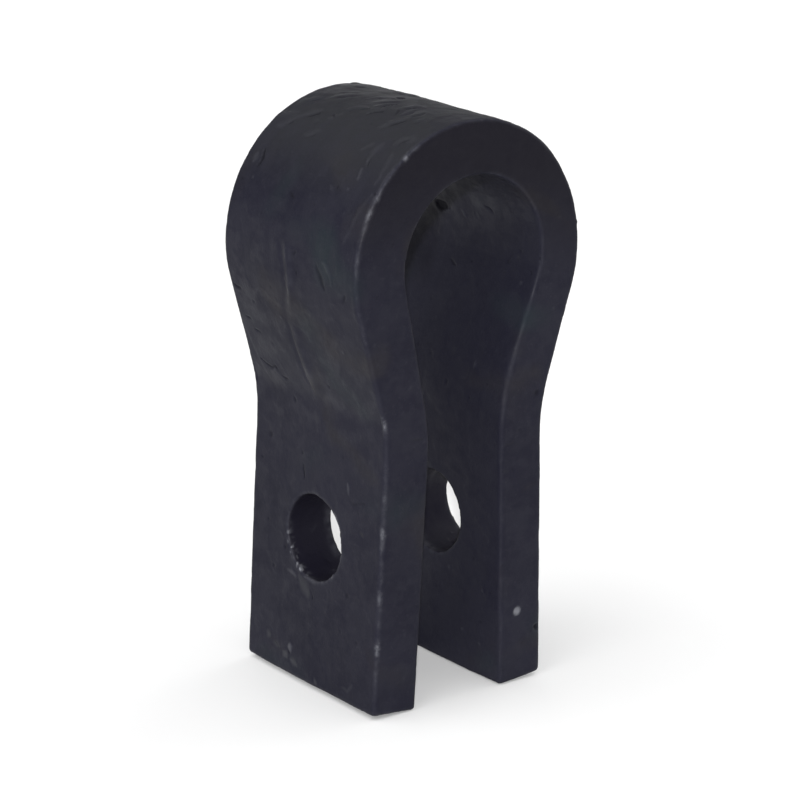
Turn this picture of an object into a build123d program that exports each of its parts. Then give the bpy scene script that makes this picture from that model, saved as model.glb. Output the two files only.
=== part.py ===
from build123d import *
from math import cos, radians, sin, tan
import os

# Bolt-on swing tooth: one drop forging shaped like a keyhole loop. A round head with a
# pierced eye carries the wear, two slightly splayed legs straddle the carrier lug, and one
# bolt passes through both legs.
# +Z points from the leg ends to the head, +X along the bolt, and -Y is the front face.
# The origin is under the middle of the loop, level with the lowest corners of the leg ends.

# driving dimensions (mm, degrees), taken on the front and back faces
total_height = 140.0
body_width = 51.0
head_radius = 33.0
eye_radius = 20.0
eye_shift = 1.4
leg_thickness = 12.7
leg_outer_spread = 51.2
leg_splay = 2.0
leg_end_slope = 5.0
neck_angle_outer = 16.5
neck_radius_outer = 45.0
neck_angle_inner_right = 20.0
neck_angle_inner_left = 12.5
neck_radius_inner = 55.0
bolt_height = 38.0
bolt_bore = 21.0
draft_angle = 1.0
face_edge_round = 0.8
leg_end_round = 0.8

# derived dimensions
half_width = body_width / 2
head_centre_z = total_height - head_radius
draft_growth = half_width * tan(radians(draft_angle))
end_overrun = 10.0
splay_run = tan(radians(leg_splay))
outer_at_ground = leg_outer_spread / 2
inner_at_ground = outer_at_ground - leg_thickness / cos(radians(leg_splay))
shear_slope = tan(radians(leg_end_slope))
shear_drop = inner_at_ground * shear_slope
shear_rise = (leg_outer_spread - inner_at_ground) * shear_slope


# corners of one side of the outline: where the neck leaves the circle, where it meets the
# leg line, and the leg line's lower end
def side_corners(radius, centre_x, neck_angle, at_ground):
    angle = radians(neck_angle)
    leave_x = centre_x + radius * cos(angle)
    leave_z = head_centre_z - radius * sin(angle)
    excess = leave_x - (at_ground - leave_z * splay_run)
    drop = excess / (tan(angle) + splay_run)
    knee_z = leave_z - drop
    return [
        (leave_x, leave_z),
        (at_ground - knee_z * splay_run, knee_z),
        (at_ground + end_overrun * splay_run, -end_overrun),
    ]


# the parting plane stands proud of the faces by the draft
head_parting = head_radius + draft_growth
eye_parting = eye_radius - draft_growth
outer_parting = outer_at_ground + draft_growth
inner_parting = inner_at_ground - draft_growth
outer_side = side_corners(head_parting, 0, neck_angle_outer, outer_parting)
inner_right = side_corners(eye_parting, eye_shift, neck_angle_inner_right, inner_parting)
inner_left = side_corners(eye_parting, -eye_shift, neck_angle_inner_left, inner_parting)

with BuildPart() as forging:
    # outside of the loop, drafted from the parting plane towards both faces
    with BuildSketch(Plane.XZ) as outside:
        with Locations((0, head_centre_z)):
            Circle(head_parting)
        with BuildLine():
            Polyline(*outer_side, *[(-x, z) for x, z in reversed(outer_side)], close=True)
        make_face()
        outer_knees = outside.vertices().filter_by(lambda v: abs(v.Y - outer_side[1][1]) < 0.01)
        fillet(outer_knees, neck_radius_outer)
    extrude(amount=half_width, taper=draft_angle, both=True)

    # eye and slot, drafted the other way
    with BuildSketch(Plane.XZ) as inside:
        with Locations((eye_shift, head_centre_z)):
            Circle(eye_parting)
        with BuildLine():
            Polyline(*inner_right, *[(-x, z) for x, z in reversed(inner_left)], close=True)
        make_face()
        inner_knees = inside.vertices().filter_by(
            lambda v: min(abs(v.Y - inner_right[1][1]), abs(v.Y - inner_left[1][1])) < 0.01
        )
        fillet(inner_knees, neck_radius_inner)
    extrude(amount=half_width, taper=-draft_angle, both=True, mode=Mode.SUBTRACT)

    # leg ends sheared so that the inner corners are the lowest
    with BuildSketch(Plane.XZ) as end_shear:
        with BuildLine():
            Polyline(
                (-leg_outer_spread, shear_rise),
                (0, -shear_drop),
                (leg_outer_spread, shear_rise),
                (leg_outer_spread, -2 * end_overrun),
                (-leg_outer_spread, -2 * end_overrun),
                close=True,
            )
        make_face()
    extrude(amount=body_width, both=True, mode=Mode.SUBTRACT)

    # bolt hole through both legs
    with BuildSketch(Plane.YZ) as bolt_hole:
        with Locations((0, bolt_height)):
            Circle(bolt_bore / 2)
    extrude(amount=leg_outer_spread, both=True, mode=Mode.SUBTRACT)

    # rounded leg ends, then rounded front and back faces
    end_edges = forging.edges().filter_by(
        lambda e: e.center().Z < end_overrun and abs(e.tangent_at(0.5).Y) > 0.9
    )
    fillet(end_edges, leg_end_round)
    faces_along_width = forging.faces().sort_by(Axis.Y)
    fillet(faces_along_width[0].edges() + faces_along_width[-1].edges(), face_edge_round)

forging.part.label = "forged_loop"

os.makedirs("parts", exist_ok=True)
export_step(forging.part, "parts/forged_loop.step")
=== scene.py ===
import math

import bmesh
import bpy
import numpy as np
from mathutils import Matrix, Vector


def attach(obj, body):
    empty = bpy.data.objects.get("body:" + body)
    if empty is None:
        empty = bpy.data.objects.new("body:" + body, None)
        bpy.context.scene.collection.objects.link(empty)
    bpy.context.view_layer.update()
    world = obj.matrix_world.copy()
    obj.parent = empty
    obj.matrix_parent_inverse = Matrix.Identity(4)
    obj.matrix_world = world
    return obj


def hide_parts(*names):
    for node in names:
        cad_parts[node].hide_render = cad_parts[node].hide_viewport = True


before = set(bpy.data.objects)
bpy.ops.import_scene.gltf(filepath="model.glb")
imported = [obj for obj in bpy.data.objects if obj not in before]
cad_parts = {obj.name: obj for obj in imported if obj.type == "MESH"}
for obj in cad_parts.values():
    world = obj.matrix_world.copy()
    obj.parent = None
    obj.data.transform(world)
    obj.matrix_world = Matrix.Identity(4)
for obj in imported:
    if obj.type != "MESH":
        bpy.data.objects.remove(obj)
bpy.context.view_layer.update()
scene = bpy.context.scene

# ---------------------------------------------------------------- camera
# metres and degrees, with the lens in millimetres and its shift in widths of the picture
HEIGHT = 0.140
CAM_AZ, CAM_EL, CAM_ROLL = 38.39, 16.5, 1.262
CAM_DIST = 4.817 * HEIGHT
SENSOR_MM, LENS_MM = 36.0, 127.3788
SHIFT_X, SHIFT_Y = 0.00191, -0.0107575


def add_camera():
    az, el, roll = (math.radians(v) for v in (CAM_AZ, CAM_EL, CAM_ROLL))
    back = Vector((-math.sin(az) * math.cos(el), -math.cos(az) * math.cos(el), math.sin(el)))
    right = (-back).cross(Vector((0, 0, 1))).normalized()
    up = right.cross(-back)
    across = right * math.cos(roll) + up * math.sin(roll)
    upward = -right * math.sin(roll) + up * math.cos(roll)
    data = bpy.data.cameras.new("camera")
    data.sensor_width = SENSOR_MM
    data.lens = LENS_MM
    data.shift_x, data.shift_y = SHIFT_X, SHIFT_Y
    data.clip_start, data.clip_end = 0.01, 20
    cam = bpy.data.objects.new("camera", data)
    scene.collection.objects.link(cam)
    cam.rotation_mode = "QUATERNION"
    pose = Matrix((across, upward, back)).transposed().to_4x4()
    pose.translation = back * CAM_DIST + Vector((0, 0, HEIGHT / 2))
    cam.matrix_world = pose
    scene.camera = cam


add_camera()


# ---------------------------------------------------------------- sizes of the forging (millimetres)
HEAD_Z, HEAD_RADIUS = 107.4, 33.0
FOLD_RADIUS = HEAD_RADIUS + 0.2
KNEE_Z, KNEE_HOLLOW = 71.8, 0.42
CROWN_RISE = 0.35
NECK_FOOT_Z, HEAD_FOOT_Z = 70.0, 100.0
# the middle of the strap's thickness: its radius in the head, and its x in a leg and at the head's foot
HEAD_MIDDLE, LEG_MIDDLE, HEAD_FOOT_MIDDLE = 27.0, 19.0, 25.0
HOLE_Z, HOLE_RADIUS = 38.0, 10.5
BALL_MARK = (17.6, -25.5, 18.3)
LOWEST_Z = 0.03
FOLDS = 46
MM_PER_METRE = 1000

# heights up the left side, with the parting line's place across it, its strength and its half-width
PARTING_WANDER = (
    [0, 40, 74.5, 77.7, 81.6, 85.7, 90.6, 94.9, 99.2, 103.4, 106.4, 109.1, 140],
    [-1, -1.5, -1.8, -0.3, 0.2, 1.0, 1.4, 0.9, -0.3, -0.9, -0.7, -0.2, 0.6],
)
PARTING_SHOW = (
    [0, 16, 60, 73, 76, 80, 89, 91, 95, 98, 100, 108, 109.6, 111, 140],
    [0.10, 0.12, 0.08, 0.15, 0.8, 1, 0.9, 0.35, 0.3, 0.7, 1, 1, 0.8, 0.05, 0.05],
)
PARTING_WIDTH = ([70, 92, 98, 140], [1.7, 1.5, 1.1, 1.0])
# heights up the left leg's front edge, and how worn it is there
LEG_BEADS = (
    [0, 2, 5, 8, 14, 18, 20, 24, 27, 31, 36, 43, 45.5, 48, 52, 60, 66, 70, 72, 76],
    [0.4, 0.5, 1.1, 0.4, 0.4, 0.9, 0.5, 0.2, 0.7, 0.6, 0.3, 0.7, 1.2, 0.3, 0.7, 0.7, 0.4, 0.9, 1.0, 0],
)


# ---------------------------------------------------------------- noise on points (millimetres)
def hash01(ix, iy, iz, seed):
    """A repeatable number from 0 to 1 for each whole-number lattice point."""
    h = (ix * 73856093) ^ (iy * 19349663) ^ (iz * 83492791) ^ (seed * 2654435761)
    h = h & 0xFFFFFFFF
    h = ((h ^ (h >> 16)) * 0x45D9F3B) & 0xFFFFFFFF
    h = ((h ^ (h >> 16)) * 0x45D9F3B) & 0xFFFFFFFF
    h = h ^ (h >> 16)
    return h.astype(np.float64) / 4294967295.0


def value_noise(p, size, seed):
    """Smooth noise from -1 to 1 whose lumps are about size millimetres across."""
    q = p / np.asarray(size, dtype=float)
    cell = np.floor(q).astype(np.int64)
    f = q - cell
    f = f * f * f * (f * (f * 6 - 15) + 10)
    out = np.zeros(len(p))
    for dx in (0, 1):
        wx = f[:, 0] if dx else 1 - f[:, 0]
        for dy in (0, 1):
            wy = f[:, 1] if dy else 1 - f[:, 1]
            for dz in (0, 1):
                wz = f[:, 2] if dz else 1 - f[:, 2]
                corner = hash01(cell[:, 0] + dx, cell[:, 1] + dy, cell[:, 2] + dz, seed)
                out += wx * wy * wz * corner
    return out * 2 - 1


def fractal(p, size, seed, octaves):
    """Noise of several sizes added up, each half the size and half the strength of the one before."""
    size = np.asarray(size, dtype=float)
    out = np.zeros(len(p))
    total = 0.0
    for k in range(octaves):
        gain = 0.5**k
        # each octave looks at turned and moved points, so its lattice never lines up with the last
        turn = 0.7 + 1.1 * k
        c, s = math.cos(turn), math.sin(turn)
        q = np.stack([p[:, 0] * c - p[:, 1] * s, p[:, 0] * s + p[:, 1] * c, p[:, 2]], 1)
        q = q + 17.3 * (k + 1)
        out += gain * value_noise(q, size / 2**k, seed + k)
        total += gain
    return out / total


def step(x, lo, hi):
    """0 below lo, 1 above hi and a smooth rise between."""
    t = np.clip((x - lo) / (hi - lo), 0, 1)
    return t * t * (3 - 2 * t)


def pits(p, cell, seed, share, r_lo, r_hi):
    """1 at the bottom of scattered round pits and 0 outside them."""
    q = p / cell
    base = np.floor(q).astype(np.int64)
    out = np.zeros(len(p))
    for dx in (-1, 0, 1):
        for dy in (-1, 0, 1):
            for dz in (-1, 0, 1):
                c = base + np.array([dx, dy, dz])
                here = [hash01(c[:, 0], c[:, 1], c[:, 2], seed + i) for i in range(5)]
                centre = c + np.stack(here[:3], 1)
                radius = (r_lo + (r_hi - r_lo) * here[3] ** 2) / cell
                d = np.linalg.norm(q - centre, axis=1) / radius
                out = np.maximum(out, np.where(here[4] < share, step(-d, -1.0, -0.25), 0))
    return out


def nicks(p, cell, seed, share, half_length, half_width):
    """1 along scattered short straight marks that lie in every direction, 0 off them."""
    q = p / cell
    base = np.floor(q).astype(np.int64)
    out = np.zeros(len(p))
    for dx in (-1, 0, 1):
        for dy in (-1, 0, 1):
            for dz in (-1, 0, 1):
                c = base + np.array([dx, dy, dz])
                here = [hash01(c[:, 0], c[:, 1], c[:, 2], seed + i) for i in range(7)]
                away = (q - c - np.stack(here[:3], 1)) * cell
                way = np.stack(here[3:6], 1) - 0.5
                way /= np.maximum(np.linalg.norm(way, axis=1), 1e-6)[:, None]
                reach = np.clip(np.einsum("ij,ij->i", away, way), -half_length, half_length)
                d = np.linalg.norm(away - reach[:, None] * way, axis=1) / half_width
                out = np.maximum(out, np.where(here[6] < share, step(-d, -1.0, -0.2), 0))
    return out


def stroke(p, points, width):
    """1 along a line through the points and 0 beyond its half-width, thin at both ends."""
    pts = np.asarray(points, dtype=float)
    run = np.concatenate([[0], np.cumsum(np.linalg.norm(np.diff(pts, axis=0), axis=1))])
    best = np.full(len(p), 1e9)
    along = np.zeros(len(p))
    for i in range(len(pts) - 1):
        a, b = pts[i], pts[i + 1]
        t = np.clip(((p - a) @ (b - a)) / max((b - a) @ (b - a), 1e-9), 0, 1)
        d = np.linalg.norm(p - (a + t[:, None] * (b - a)), axis=1)
        nearer = d < best
        best = np.where(nearer, d, best)
        along = np.where(nearer, (run[i] + t * (run[i + 1] - run[i])) / run[-1], along)
    w = width * (0.35 + 0.65 * np.sin(np.pi * np.clip(along, 0, 1)))
    return step(-best / w, -1.0, -0.1)


def land(p, where, axes, points):
    """The surface points, among those allowed, that lie nearest to the given pairs of coordinates."""
    allowed = p[where]
    flat = allowed[:, axes]
    return [allowed[np.argmin(((flat - np.array(pair)) ** 2).sum(axis=1))] for pair in points]


# ---------------------------------------------------------------- marks at their own places
# Each mark is a crooked stroke: its points, half-width, height and how much bare metal shows (millimetres).
# Points are (y, z) on the left side and in the eye, and (x, z) on the front. The surface gives the third.
LEFT_MARKS = [
    ([(-12.5, 109), (-14.5, 108.5), (-16, 106), (-16.5, 104)], 0.8, 0.16, 0.03),
    ([(-11.5, 108), (-12.5, 105.5), (-13.5, 103)], 1.3, -0.16, 0.0),
    ([(-23, 125.5), (-22, 121.5), (-21, 117), (-19.5, 113.5)], 0.9, 0.12, 0.02),
    ([(-20.5, 134), (-22, 131), (-22.5, 127.5)], 1.1, 0.14, 0.02),
    ([(20.5, 77.5), (18.5, 76.5), (16.5, 76), (14.5, 77), (13, 75)], 0.6, -0.34, 0.0),
    ([(13, 75), (11.5, 74.5), (9.5, 74.5)], 0.55, -0.28, 0.0),
    ([(16.5, 75), (14.5, 76), (12, 74)], 0.9, 0.16, 0.02),
    ([(20, 85), (18.5, 85), (17, 85)], 0.5, -0.24, 0.0),
    ([(22, 88), (20, 87.5)], 0.7, -0.28, 0.0),
    ([(24.5, 96), (20.5, 95)], 0.6, -0.22, 0.0),
    ([(17.5, 9), (16, 8)], 1.7, -0.24, 0.1),
    ([(14.5, 7.5), (12.5, 6.5)], 1.2, -0.26, 0.08),
    ([(10.5, 6), (9, 5)], 1.8, -0.24, 0.12),
    ([(7.5, 5), (5, 4)], 1.5, -0.26, 0.12),
    ([(8, 9), (7.5, 7)], 1.5, 0.22, 0.16),
    ([(10, 27), (7.5, 27), (5.5, 26)], 0.9, 0.14, 0.07),
    ([(5, 26.5), (3.5, 25), (1.5, 23)], 2.8, -0.2, 0.08),
    ([(0.5, 25), (-1, 22.5)], 0.5, -0.22, 0.0),
    ([(5, 55), (4.5, 51.5)], 0.6, -0.28, 0.0),
    ([(-12, 54.5), (-13, 51.5)], 0.7, 0.15, 0.1),
    ([(-13, 50), (-19, 51.5)], 0.5, -0.14, 0.0),
    ([(-17.5, 44.5), (-19, 43.5)], 0.8, -0.22, 0.06),
    ([(-13, 5), (-15.5, 4.5)], 0.5, -0.14, 0.06),
    ([(-2.5, 3.5), (-3, 2)], 0.8, -0.15, 0.1),
    ([(3, 121.5), (1, 120.5)], 0.9, -0.15, 0.0),
    ([(-9, 125), (-10.5, 124)], 0.6, 0.12, 0.03),
    ([(19.5, 128), (18.5, 126.5), (19, 124.5)], 0.8, -0.34, 0.0),
    ([(21.5, 127), (21.5, 125)], 1.5, 0.22, 0.04),
]
FRONT_MARKS = [
    ([(-17, 67.5), (-14.5, 67), (-12, 67)], 0.5, -0.16, 0.02),
    ([(12, 61), (15, 61), (18, 60)], 0.45, -0.14, 0.02),
    ([(11, 55), (13.5, 54)], 0.45, -0.16, 0.03),
    ([(25.5, 92.5), (26, 91)], 0.4, -0.12, 0.07),
    ([(23, 13), (24.5, 12.5)], 0.8, -0.6, 0.0),
    ([(-15, 35.5), (-13.5, 35.5)], 0.4, -0.12, 0.0),
    ([(10, 31), (12.5, 30.5)], 0.4, -0.1, 0.0),
]
EYE_MARKS = [
    ([(-6, 114), (-8, 113.5), (-9.5, 112.5)], 0.6, -0.32, 0.0),
    ([(6, 99), (4.5, 98.5), (3, 97.5)], 0.6, -0.28, 0.0),
    ([(-17, 104), (-17.5, 103)], 0.7, -0.28, 0.05),
    ([(-22.5, 101.5), (-23, 100.5)], 0.7, -0.3, 0.0),
    ([(-22.5, 98), (-23, 97)], 0.5, -0.22, 0.0),
    ([(-2, 112), (-3, 110)], 0.6, -0.2, 0.08),
    ([(3.5, 111.5), (1.5, 110)], 0.8, 0.16, 0.06),
]


# ---------------------------------------------------------------- the forging's own mesh
VOXEL = 0.0004


def dense_copy(source):
    """An even, closed mesh of the CAD solid, fine enough to carry the forged surface."""
    bm = bmesh.new()
    bm.from_mesh(source.data)
    bmesh.ops.remove_doubles(bm, verts=bm.verts, dist=1e-6)
    bmesh.ops.recalc_face_normals(bm, faces=bm.faces)
    mesh = bpy.data.meshes.new("dense")
    bm.to_mesh(mesh)
    bm.free()
    mesh.transform(source.matrix_world)
    obj = bpy.data.objects.new("dense", mesh)
    scene.collection.objects.link(obj)
    mod = obj.modifiers.new("even", "REMESH")
    mod.mode = "VOXEL"
    mod.voxel_size = VOXEL
    mod.adaptivity = 0.0
    bpy.context.view_layer.update()
    made = bpy.data.meshes.new_from_object(obj.evaluated_get(bpy.context.evaluated_depsgraph_get()))
    bpy.data.objects.remove(obj)
    bpy.data.meshes.remove(mesh)
    return made


class Links:
    """Which vertices share an edge, for means and smoothing over neighbours."""

    def __init__(self, mesh):
        e = np.empty(len(mesh.edges) * 2, dtype=np.int32)
        mesh.edges.foreach_get("vertices", e)
        e = e.reshape(-1, 2)
        self.a = np.concatenate([e[:, 0], e[:, 1]])
        self.b = np.concatenate([e[:, 1], e[:, 0]])
        self.n = len(mesh.vertices)
        self.count = np.maximum(np.bincount(self.a, minlength=self.n), 1)

    def mean(self, v):
        if v.ndim == 1:
            return np.bincount(self.a, weights=v[self.b], minlength=self.n) / self.count
        return np.stack([self.mean(v[:, i]) for i in range(v.shape[1])], 1)

    def smooth(self, v, times, amount=0.5):
        for _ in range(times):
            v = v + amount * (self.mean(v) - v)
        return v


def normals_of(mesh, points_mm):
    """Moves the mesh's vertices to the points, and gives their normals."""
    mesh.vertices.foreach_set("co", (points_mm / MM_PER_METRE).ravel())
    mesh.update()
    n = np.empty(len(points_mm) * 3)
    mesh.vertex_normals.foreach_get("vector", n)
    return n.reshape(-1, 3)


# ---------------------------------------------------------------- where each point is
class Places:
    """The forging's points and normals (millimetres), and 0 to 1 weights that say where each point is."""

    def __init__(self, links, p, n):
        self.links, self.p, self.n = links, p, n
        self.x, self.y, self.z = p.T
        away = links.smooth(p, 14)
        self.sharp = np.einsum("ij,ij->i", p - away, n)
        self.hollow = step(-self.sharp, 0.06, 0.25)
        self.face = step(np.abs(n[:, 1]), 0.80, 0.97)
        self.outside = self.outer_half(LEG_MIDDLE)
        neck_middle = np.interp(self.z, [NECK_FOOT_Z, HEAD_FOOT_Z], [LEG_MIDDLE, HEAD_FOOT_MIDDLE])
        rim_side = 1 - step(np.abs(n[:, 1]), 0.15, 0.5)
        self.outer = self.outer_half(neck_middle) * rim_side
        self.inner = (1 - self.outer) * rim_side
        from_hole = np.hypot(self.y, self.z - HOLE_Z)
        across = 1 - step(np.abs(n[:, 0]), 0.5, 0.8)
        # the bores' weight also darkens them as painted shade in the material
        self.bore_with_painted_shade = (from_hole < HOLE_RADIUS + 0.4) * across
        self.end = step(-n[:, 2], 0.7, 0.9) * (self.z < 12)

    def outer_half(self, middle):
        """1 on the outer half of the strap's thickness, 0 on its inner half."""
        # middle is the x that parts the two halves below the head
        radial = np.hypot(self.x, self.z - HEAD_Z)
        return np.where(self.z > HEAD_FOOT_Z, radial > HEAD_MIDDLE, np.abs(self.x) > middle) * 1.0

    def from_centre(self, centre, radii):
        """Distance from a centre, in units of the three radii."""
        return np.linalg.norm((self.p - centre) / radii, axis=1)


def ridge_at(value, centre, width):
    """1 where the value is at the centre, falling off smoothly over the width."""
    return np.exp(-(((value - centre) / width) ** 2))


def swayed(p, amount, size, seed):
    """The points moved about by noise, which makes the outline of anything drawn on them uneven."""
    return p + np.stack([amount * fractal(p, size, seed + i, 2) for i in range(3)], 1)


# ---------------------------------------------------------------- what forging did to the surface
# A function gives the lift that it adds along the normal, or weights from 0 to 1, or a lift and then weights.
def hammered_scale(s):
    """Broad hammered unevenness, then scale that has stayed on in plates or flaked off."""
    lift = 0.16 * fractal(s.p, 24, 3, 2) + 0.07 * fractal(s.p, 9, 11, 2)
    flaked = step(fractal(s.p, 6.5, 21, 3), 0.10, 0.22)
    lift += -0.055 * flaked * (1 - 0.6 * s.face)
    small_plates = value_noise(s.p[:, [1, 2, 0]], 3.3, 31)
    lift += -0.03 * step(small_plates, 0.30, 0.60)
    lift += 0.025 * value_noise(s.p[:, [2, 0, 1]], 2.4, 41)
    return lift, flaked, small_plates


def left_knee(s):
    """The left waist is bent more sharply than the right."""
    return -KNEE_HOLLOW * ridge_at(s.z, KNEE_Z, 2.8) * s.outer * (s.x < 0)


def pitting(s):
    pit = pits(s.p, 9.0, 51, 0.35, 0.5, 1.5) * step(fractal(s.p, 30, 57, 2), -0.35, 0.25)
    tiny = pits(s.p, 3.5, 61, 0.30, 0.25, 0.7)
    return -0.16 * pit - 0.06 * tiny, pit, tiny


def knocks(s):
    """Short nicks and raised crumbs of scale."""
    nick = nicks(s.p, 7.0, 121, 0.45, 1.5, 0.50) * (1 - 0.5 * s.face)
    crumb = nicks(s.p, 8.0, 141, 0.45, 1.3, 0.55) * (1 - 0.6 * s.face) * (1 - nick)
    return -0.17 * nick + 0.14 * crumb, nick, crumb


def fold_line(rng):
    """One crooked fold over the crown: its points, its length and its half-width."""
    around = rng.uniform(-0.75, 0.55)
    across = rng.uniform(-23, 24)
    length = rng.uniform(2.5, 7.5)
    heading = math.radians(-8 - 62 * (across + 23) / 47 + rng.uniform(-22, 22))
    bend = rng.uniform(-0.9, 0.9)
    line = []
    for t in np.linspace(-0.5, 0.5, 5):
        turn = around + t * length * math.cos(heading) / HEAD_RADIUS
        shift = across + t * length * math.sin(heading) + bend * (t * t * 4 - 0.5)
        line.append((FOLD_RADIUS * math.sin(turn), shift, HEAD_Z + FOLD_RADIUS * math.cos(turn)))
    return np.array(line), length


def crown_folds(s):
    """Wrinkled scale over the crown, in short folds, with the crown rising a little towards the back."""
    crown = step(s.z, 118, 138) * s.outer
    bent = swayed(s.p, 1.1, 3.4, 211)
    rng = np.random.default_rng(12)
    crease = np.zeros(s.links.n)
    lip = np.zeros(s.links.n)
    for _ in range(FOLDS):
        line, length = fold_line(rng)
        near = np.linalg.norm(s.p - line[2], axis=1) < length / 2 + 5
        width = rng.uniform(0.55, 0.95)
        fold = stroke(bent[near], line, width) * rng.uniform(0.4, 1.0)
        crease[near] = np.maximum(crease[near], fold)
        lip[near] = np.maximum(lip[near], stroke(bent[near], line + [0.7, 1.1, 0.0], width * 2.2))
    lip = lip * (1 - crease) * s.outer
    lift = -0.38 * crease * s.outer + 0.14 * lip
    lift += crown * (0.14 * fractal(s.p, (7.0, 4.5, 7.0), 75, 2) + CROWN_RISE * step(s.y, -10, 22))
    return lift, crown, crease * s.outer, lip


def parting_line(s):
    """The die parting line round the outside: it wanders, and is trimmed away here and there."""
    along_z = s.p * [0, 0, 1]
    wander = np.where(s.x < 0, np.interp(s.z, *PARTING_WANDER), 0.7 * value_noise(along_z, 18, 83))
    wander = wander + 0.22 * value_noise(along_z, 3.0, 85)
    right_show = np.clip(0.35 + 0.65 * value_noise(along_z, 14, 87), 0.05, 1)
    show = np.where(s.x < 0, np.interp(s.z, *PARTING_SHOW), right_show)
    show = show * s.outer * (1 - step(s.z, 118, 132) * 0.8)
    wide = np.interp(s.z, *PARTING_WIDTH)
    off = s.y - wander + 0.35 * fractal(s.p, 2.8, 221, 2)
    ridge = ridge_at(off, 0, wide) - 0.7 * ridge_at(off, wide + 1.0, 0.8)
    trim = show * ridge_at(off, -0.6, 0.9) * np.clip(0.5 + value_noise(s.p, 2.0, 89), 0, 1)
    return 0.40 * ridge * show, trim


def placed_marks(s, small_plates):
    """The marks that have their own places, with uneven outlines."""
    sides = (
        (LEFT_MARKS, (1, 2), (s.outer > 0.5) & (s.x < 0)),
        (FRONT_MARKS, (0, 2), (s.face > 0.5) & (s.y < 0)),
        (EYE_MARKS, (1, 2), (s.inner > 0.5) & (s.x > 2)),
    )
    uneven = swayed(s.p, 0.55, 2.6, 201)
    lift = np.zeros(s.links.n)
    painted_hollow_shade = np.zeros(s.links.n)
    bright = np.zeros(s.links.n)
    for marks, axes, where in sides:
        for points, width, height, bareness in marks:
            line = stroke(uneven, land(s.p, where, axes, points), width)
            lift += height * line * (0.8 + 0.3 * small_plates)
            # dipped marks get painted shade in their colour
            if height < 0:
                painted_hollow_shade = np.maximum(painted_hollow_shade, line * min(1, -height / 0.25))
            bright = np.maximum(bright, line * bareness)
    return lift, painted_hollow_shade, bright


def eye_patches(s, mark_painted_shade):
    """A torn pit far back in the eye, painted dark as shade, and a paler patch nearer the front where scale
    has come off, made lighter still as painted bounce light.
    """
    tear_gap = s.from_centre([20.8, 11.0, 110.9], [3.0, 3.4, 1.5]) + 0.45 * fractal(s.p, 2.0, 91, 2)
    torn_pit_painted_shade = (1 - step(tear_gap, 0.55, 1.0)) * s.inner
    pale_gap = s.from_centre([19.0, -7.6, 115.4], [5.0, 9.5, 4.2]) + 0.5 * fractal(s.p, 6.0, 93, 3)
    # painted light: the pale patch stands in for bounce light on the eye's upper right wall
    pale_and_painted_light = (1 - step(pale_gap, 0.45, 1.0)) * s.inner * (1 - mark_painted_shade)
    return -0.45 * torn_pit_painted_shade - 0.10 * pale_and_painted_light, torn_pit_painted_shade, pale_and_painted_light


def ball_mark(s):
    """A small round dent of clean metal low on the right leg's front, with a slightly raised rim."""
    gap = np.linalg.norm(s.p - BALL_MARK, axis=1)
    dot = step(-gap, -1.30, -0.75) * (0.85 + 0.3 * value_noise(s.p, 0.7, 241))
    return -0.22 * step(-gap, -1.4, -0.2) + 0.05 * ridge_at(gap, 1.6, 0.3), dot


def hole_burr(s):
    """Torn burr round the bolt holes, heaviest low on the back of the left one."""
    ring = np.hypot(s.y, s.z - HOLE_Z)
    at_outer = ridge_at(np.abs(s.x), 25.2, 1.3)
    at_inner = ridge_at(np.abs(s.x), 12.2, 1.3)
    angle = np.arctan2(s.z - HOLE_Z, s.y)
    heavy = ridge_at(angle, -0.75, 0.62) * (s.x < 0) * at_outer
    rag = np.clip(0.5 + 1.2 * fractal(s.p, 1.3, 95, 2), 0, 1.4)
    rim = ridge_at(ring, HOLE_RADIUS + 0.1, 0.45)
    lift = rim * rag * (at_outer * 0.10 + at_inner * 0.06 + 0.24 * heavy)
    glow = rim * (0.12 * at_outer + 0.10 * at_inner) * np.clip(rag, 0.2, 1)
    grains = step(value_noise(s.p, 0.7, 97), 0.0, 0.4)
    return lift, glow, heavy * ridge_at(ring, HOLE_RADIUS + 0.05, 0.38) * grains


def cutting_marks(s):
    """Shear marks down the cut ends and drill rings in the bores."""
    shear = 0.05 * s.end * value_noise(s.p, (0.8, 40, 40), 101)
    return shear + 0.03 * s.bore_with_painted_shade * value_noise(s.p, (0.7, 60, 60), 103)


def worn_edges(s):
    """Nibbled edges: rounder at the upper left of the head's front, beaded down the left leg's front."""
    front = (s.y < 0) * s.outside
    round_head = np.arctan2(s.x, s.z - HEAD_Z)
    head_wear = np.maximum(ridge_at(round_head, -1.15, 0.62), 1.3 * ridge_at(round_head, -0.655, 0.04))
    head_wear = head_wear * front
    leg_wear = np.interp(s.z, *LEG_BEADS) * (s.x < 0) * front
    edge = step(s.sharp, 0.10, 0.42)
    edge = np.maximum(edge, np.minimum(leg_wear, 1) * step(s.sharp, 0.04, 0.28))
    edge = np.maximum(edge, 0.7 * head_wear * step(s.sharp, 0.05, 0.30))
    nibbles = np.clip(fractal(s.p, 3.5, 105, 2) + 0.1, 0, 1) ** 2
    lift = -edge * (0.04 + 0.22 * nibbles + 0.35 * head_wear)
    patchy = np.clip(0.55 + 0.9 * fractal(s.p, 7, 111, 3), 0, 1.3)
    beads = 0.65 + 1.1 * np.clip(fractal(s.p, 1.8, 113, 2), -0.5, 0.7)
    eye_lip = (1 - s.outside) * (s.y < 0) * (step(s.z, 104, 114) * 0.42 - 0.08)
    back = s.y > 15
    wear = edge * patchy * beads * (0.20 + eye_lip + 0.62 * head_wear + 0.62 * leg_wear + 0.28 * back)
    return lift, edge, wear


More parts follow.
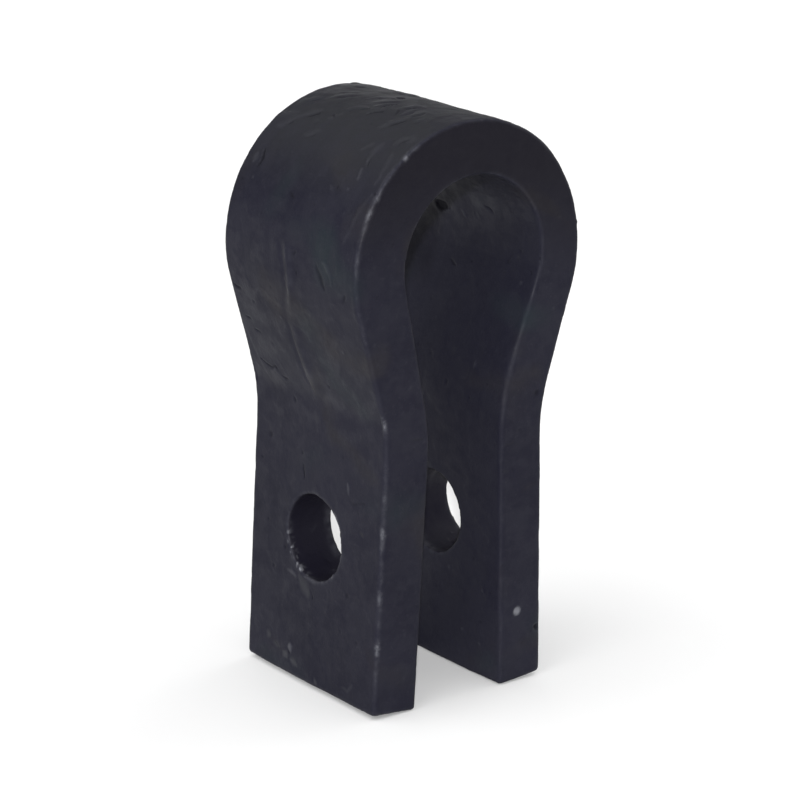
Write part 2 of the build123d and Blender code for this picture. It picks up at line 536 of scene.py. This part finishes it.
def pale_neck_and_painted_light(s):
    """Paler scale low on the left of the head, and painted light on the waist above the knee, ending sharply
    at the knee.
    """
    shoal = s.from_centre([-27.5, 18.0, 84.0], [6.0, 9.0, 13.0]) + 0.6 * fractal(s.p, 7.0, 97, 3)
    knee = s.z + 0.8 * fractal(s.p, 6.0, 231, 2)
    # painted light: the waist between knee and head made paler, standing in for light bounced from the floor
    waist = step(knee, 71.2, 73.2) * (1 - step(knee, 80, 92)) * (s.x < 0)
    return np.maximum(0.5 * (1 - step(shoal, 0.6, 1.1)), 0.40 * waist) * s.outer


def painted_shade_far_wall(s):
    """The back third of the eye's right wall, painted darker as shade that deepens the lamp's shadow crescent
    there.
    """
    depth = s.y + 2.5 * fractal(s.p, 7.0, 261, 2)
    return step(depth, 8, 15) * step(s.z, 88, 98) * (s.x > -5) * s.inner


def strongest(*weights):
    """The largest of the weights at each point."""
    return np.clip(np.maximum.reduce(weights), 0, 1)


def forge(cad):
    """The forging's visible mesh, with the weights that its material reads."""
    mesh = dense_copy(cad)
    links = Links(mesh)
    p = np.empty(links.n * 3)
    mesh.vertices.foreach_get("co", p)
    p = links.smooth(p.reshape(-1, 3) * MM_PER_METRE, 2)
    s = Places(links, p, normals_of(mesh, p))

    lift, flaked, small_plates = hammered_scale(s)
    pit_lift, pit, tiny = pitting(s)
    knock_lift, nick, crumb = knocks(s)
    fold_lift, crown, crease, lip = crown_folds(s)
    parting_lift, trim = parting_line(s)
    mark_lift, mark_painted_shade, mark_bright = placed_marks(s, small_plates)
    patch_lift, torn_pit_painted_shade, pale_and_painted_light = eye_patches(s, mark_painted_shade)
    ball_lift, dot = ball_mark(s)
    burr_lift, glow, spark = hole_burr(s)
    edge_lift, edge, wear = worn_edges(s)
    lift = lift + left_knee(s) + pit_lift + knock_lift + fold_lift + parting_lift + mark_lift
    lift = lift + patch_lift + ball_lift + burr_lift + cutting_marks(s) + edge_lift
    q = p + s.n * lift[:, None]
    q[:, 2] = np.maximum(q[:, 2], LOWEST_Z)
    normals = normals_of(mesh, q)

    fine = np.einsum("ij,ij->i", q - links.smooth(q, 3), normals)
    # painted shade: darker colour laid into the marks, torn pit, nicks, pits, creases and hollows, where
    # shade falls; it also makes them rougher
    painted_hollow_shade = strongest(mark_painted_shade, torn_pit_painted_shade * 0.9, nick * 0.7, pit * 0.7, tiny * 0.5, crease, s.hollow * 0.3)
    duller = np.clip(0.55 + 0.9 * value_noise(p, 4.0, 251), 0, 1)
    weights = {
        "wear": np.clip(wear, 0, 1),
        "rub": step(fine, 0.02, 0.07) * (1 - edge),
        "flaked": flaked,
        "painted_hollow_shade": painted_hollow_shade,
        "bare": strongest(mark_bright, glow, trim * 0.028, lip * 0.02, crumb * 0.05),
        "spark": strongest(spark, 0.62 * dot),
        "pale_and_painted_light": np.maximum(pale_and_painted_light, pale_neck_and_painted_light(s)),
        # painted shade: the front face darker towards the top of the head, standing in for light falling off
        # there
        "painted_shade_head_front": s.face * step(s.z + 8 * fractal(p, 18, 99, 2), 98, 132),
        # the crown's weight also carries its painted sheen in the colour
        "crown": crown,
        "far": painted_shade_far_wall(s),
        "dull": step(s.sharp, 0.03, 0.2) * (1 - s.outside) * duller,
        "inside": s.inner,
        "bore_with_painted_shade": s.bore_with_painted_shade,
    }
    for name, values in weights.items():
        layer = mesh.attributes.new(name, "FLOAT", "POINT")
        layer.data.foreach_set("value", np.ascontiguousarray(values, dtype=np.float32))
    return mesh


# ---------------------------------------------------------------- material
class Nodes:
    """Short ways to build a material's nodes."""

    def __init__(self, name):
        self.mat = bpy.data.materials.new(name)
        self.mat.use_nodes = True
        self.tree = self.mat.node_tree
        self.shader = self.tree.nodes["Principled BSDF"]

    def put(self, kind, **settings):
        node = self.tree.nodes.new(kind)
        for key, value in settings.items():
            setattr(node, key, value)
        return node

    def link(self, source, target):
        self.tree.links.new(source, target)

    def fill(self, socket, value):
        if isinstance(value, bpy.types.NodeSocket):
            self.link(value, socket)
        elif socket.type == "RGBA":
            socket.default_value = (*value, 1.0)
        else:
            socket.default_value = value

    def attribute(self, name):
        return self.put("ShaderNodeAttribute", attribute_name=name).outputs["Fac"]

    def place(self):
        return self.put("ShaderNodeTexCoord").outputs["Object"]

    def noise(self, size_mm, detail=3.0, roughness=0.55, distortion=0.0):
        node = self.put("ShaderNodeTexNoise")
        self.link(self.place(), node.inputs["Vector"])
        node.inputs["Scale"].default_value = MM_PER_METRE / size_mm
        node.inputs["Detail"].default_value = detail
        node.inputs["Roughness"].default_value = roughness
        node.inputs["Distortion"].default_value = distortion
        return node.outputs["Fac"]

    def span(self, value, lo, hi, out_lo=0.0, out_hi=1.0):
        node = self.put("ShaderNodeMapRange", interpolation_type="SMOOTHSTEP")
        self.link(value, node.inputs["Value"])
        for key, number in zip(("From Min", "From Max", "To Min", "To Max"), (lo, hi, out_lo, out_hi)):
            node.inputs[key].default_value = number
        return node.outputs["Result"]

    def calc(self, operation, a, b, clamp=False):
        node = self.put("ShaderNodeMath", operation=operation, use_clamp=clamp)
        self.fill(node.inputs[0], a)
        self.fill(node.inputs[1], b)
        return node.outputs[0]

    def mix(self, factor, a, b):
        node = self.put("ShaderNodeMix", data_type="RGBA")
        self.fill(node.inputs["Factor"], factor)
        self.fill(node.inputs["A"], a)
        self.fill(node.inputs["B"], b)
        return node.outputs["Result"]

    def blend(self, factor, a, b):
        node = self.put("ShaderNodeMix", data_type="FLOAT")
        self.fill(node.inputs["Factor"], factor)
        self.fill(node.inputs["A"], a)
        self.fill(node.inputs["B"], b)
        return node.outputs["Result"]


METAL = (0.2300, 0.2350, 0.2600)


def oxide_colour(m, painted_hollow_shade):
    """Blue-black oxide with broad clouds of tint, finer mottling, and paler or darker areas, some of them
    painted: shade in the hollows, bores, eye's back wall and head front, and light on the crown, the left
    waist and in the eye.
    """
    cloud = m.span(m.noise(34, 2.0), 0.35, 0.65)
    colour = m.mix(cloud, (0.0064, 0.0063, 0.0128), (0.0088, 0.0086, 0.0160))
    warm = m.span(m.noise(22, 2.0, 0.5, 0.6), 0.56, 0.72)
    colour = m.mix(warm, colour, (0.0120, 0.0110, 0.0148))
    green = m.span(m.noise(27, 1.0, 0.5, 0.4), 0.60, 0.74)
    colour = m.mix(green, colour, (0.0096, 0.0132, 0.0180))
    fleck = m.span(m.noise(2.6, 4.0, 0.65), 0.42, 0.66)
    specks = m.span(m.noise(0.9, 2.0, 0.6), 0.60, 0.72)
    layers = (
        # weight, share, colour
        # partly painted light: the crown's lighter, more neutral colour stands in for sheen from the lights
        # above
        (m.attribute("crown"), 0.75, (0.0196, 0.0202, 0.0226)),
        (fleck, 0.24, (0.0172, 0.0172, 0.0248)),
        (m.attribute("flaked"), 0.30, (0.0144, 0.0144, 0.0212)),
        (specks, 0.22, (0.0240, 0.0240, 0.0320)),
        # painted shade in the hollows
        (painted_hollow_shade, 0.80, (0.0024, 0.0024, 0.0048)),
        # pale scale, with painted light on the left waist and in the eye
        (m.attribute("pale_and_painted_light"), 0.55, (0.0236, 0.0244, 0.0310)),
        (m.attribute("inside"), 0.30, (0.0190, 0.0190, 0.0300)),
        # painted shade: the bores darkened, where shade falls inside the holes
        (m.attribute("bore_with_painted_shade"), 0.75, (0.0064, 0.0056, 0.0104)),
        # painted shade: the back of the eye's right wall darkened to deepen the shadow crescent
        (m.attribute("far"), 0.60, (0.0048, 0.0044, 0.0088)),
        # painted shade on the head's front, darker towards its top
        (m.attribute("painted_shade_head_front"), 0.75, (0.0040, 0.0033, 0.0058)),
    )
    for weight, share, tone in layers:
        colour = m.mix(m.calc("MULTIPLY", weight, share), colour, tone)
    return colour


def metal_showing(m):
    """How far the oxide is worn through to metal, at edges, ridges, scrapes and burrs."""
    grit = m.span(m.noise(1.3, 3.0, 0.7), 0.34, 0.62)
    through = m.calc("MULTIPLY", m.attribute("wear"), m.calc("ADD", m.calc("MULTIPLY", grit, 0.75), 0.25))
    through = m.calc("MAXIMUM", through, m.calc("MULTIPLY", m.attribute("rub"), 0.04))
    through = m.calc("MAXIMUM", through, m.attribute("bare"))
    return m.calc("MAXIMUM", through, m.attribute("spark"), clamp=True)


def gloss_of(m, painted_hollow_shade, through):
    gloss = m.span(m.noise(5.0, 3.0, 0.6), 0.35, 0.65, 0.44, 0.60)
    gloss = m.blend(m.calc("MULTIPLY", m.attribute("flaked"), 0.5), gloss, 0.66)
    gloss = m.blend(painted_hollow_shade, gloss, 0.75)
    gloss = m.blend(m.calc("MULTIPLY", m.attribute("crown"), 0.6), gloss, 0.72)
    gloss = m.blend(m.attribute("dull"), gloss, 0.85)
    return m.blend(through, gloss, 0.38)


def grain(m):
    """Grain too fine for the mesh."""
    height = m.calc("ADD", m.calc("MULTIPLY", m.noise(0.55, 3.0, 0.6), 0.5), m.noise(2.1, 4.0, 0.6))
    bump = m.put("ShaderNodeBump")
    bump.inputs["Strength"].default_value = 0.55
    bump.inputs["Distance"].default_value = 0.00012
    m.link(height, bump.inputs["Height"])
    return bump.outputs["Normal"]


def scale_material():
    m = Nodes("forging_scale")
    painted_hollow_shade = m.attribute("painted_hollow_shade")
    through = metal_showing(m)
    m.link(m.mix(through, oxide_colour(m, painted_hollow_shade), METAL), m.shader.inputs["Base Color"])
    m.link(m.calc("MULTIPLY", through, 0.65), m.shader.inputs["Metallic"])
    m.link(gloss_of(m, painted_hollow_shade, through), m.shader.inputs["Roughness"])
    m.link(grain(m), m.shader.inputs["Normal"])
    m.shader.inputs["Specular IOR Level"].default_value = 0.11
    return m.mat


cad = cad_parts["forged_loop"]
piece = bpy.data.objects.new("forging", forge(cad))
scene.collection.objects.link(piece)
piece.data.materials.clear()
piece.data.materials.append(scale_material())
piece.data.polygons.foreach_set("use_smooth", [True] * len(piece.data.polygons))
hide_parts("forged_loop")
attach(piece, "root")

# ---------------------------------------------------------------- floor and light
FLOOR_HALF = 4.0
FLOOR_COLOUR = (0.80, 0.80, 0.80, 1)
WORLD_STRENGTH = 0.22
# name, direction the light comes from, strength, spread in degrees
SUNS = (
    ("side", (-0.90, 0.12, 0.60), 1.0, 70),
    ("top", (-0.15, -0.15, 1.0), 1.75, 90),
    ("right", (0.95, 0.05, 0.28), 1.0, 50),
    ("back", (0.45, 0.90, 0.04), 0.9, 20),
)
LAMP_STRENGTH, LAMP_SPREAD = 3.4, 2.0
# how far the lamp stands from the camera's direction, in degrees
LAMP_LEFT_OF_CAMERA, LAMP_ABOVE_CAMERA = 0.5, 2.6


def add_floor():
    s = FLOOR_HALF
    mesh = bpy.data.meshes.new("floor")
    mesh.from_pydata([(-s, -s, 0), (s, -s, 0), (s, s, 0), (-s, s, 0)], [], [(0, 1, 2, 3)])
    m = Nodes("floor_white")
    m.shader.inputs["Base Color"].default_value = FLOOR_COLOUR
    m.shader.inputs["Roughness"].default_value = 1.0
    m.shader.inputs["Specular IOR Level"].default_value = 0.0
    mesh.materials.append(m.mat)
    floor = bpy.data.objects.new("floor", mesh)
    scene.collection.objects.link(floor)


def add_world(strength):
    world = bpy.data.worlds.new("studio")
    world.use_nodes = True
    world.node_tree.nodes["Background"].inputs["Color"].default_value = (1, 1, 1, 1)
    world.node_tree.nodes["Background"].inputs["Strength"].default_value = strength
    scene.world = world


def add_sun(name, source, strength, spread):
    """Broad even light that comes from the direction of source."""
    data = bpy.data.lights.new(name, "SUN")
    data.energy = strength
    data.angle = math.radians(spread)
    sun = bpy.data.objects.new(name, data)
    sun.rotation_mode = "QUATERNION"
    sun.rotation_quaternion = Vector(source).to_track_quat("Z", "Y")
    scene.collection.objects.link(sun)


add_floor()
add_world(WORLD_STRENGTH)
for sun in SUNS:
    add_sun(*sun)
lamp_az = math.radians(CAM_AZ + LAMP_LEFT_OF_CAMERA)
lamp_el = math.radians(CAM_EL + LAMP_ABOVE_CAMERA)
lamp = (-math.sin(lamp_az) * math.cos(lamp_el), -math.cos(lamp_az) * math.cos(lamp_el), math.sin(lamp_el))
add_sun("lamp over the camera", lamp, LAMP_STRENGTH, LAMP_SPREAD)
scene.view_settings.view_transform = "Standard"

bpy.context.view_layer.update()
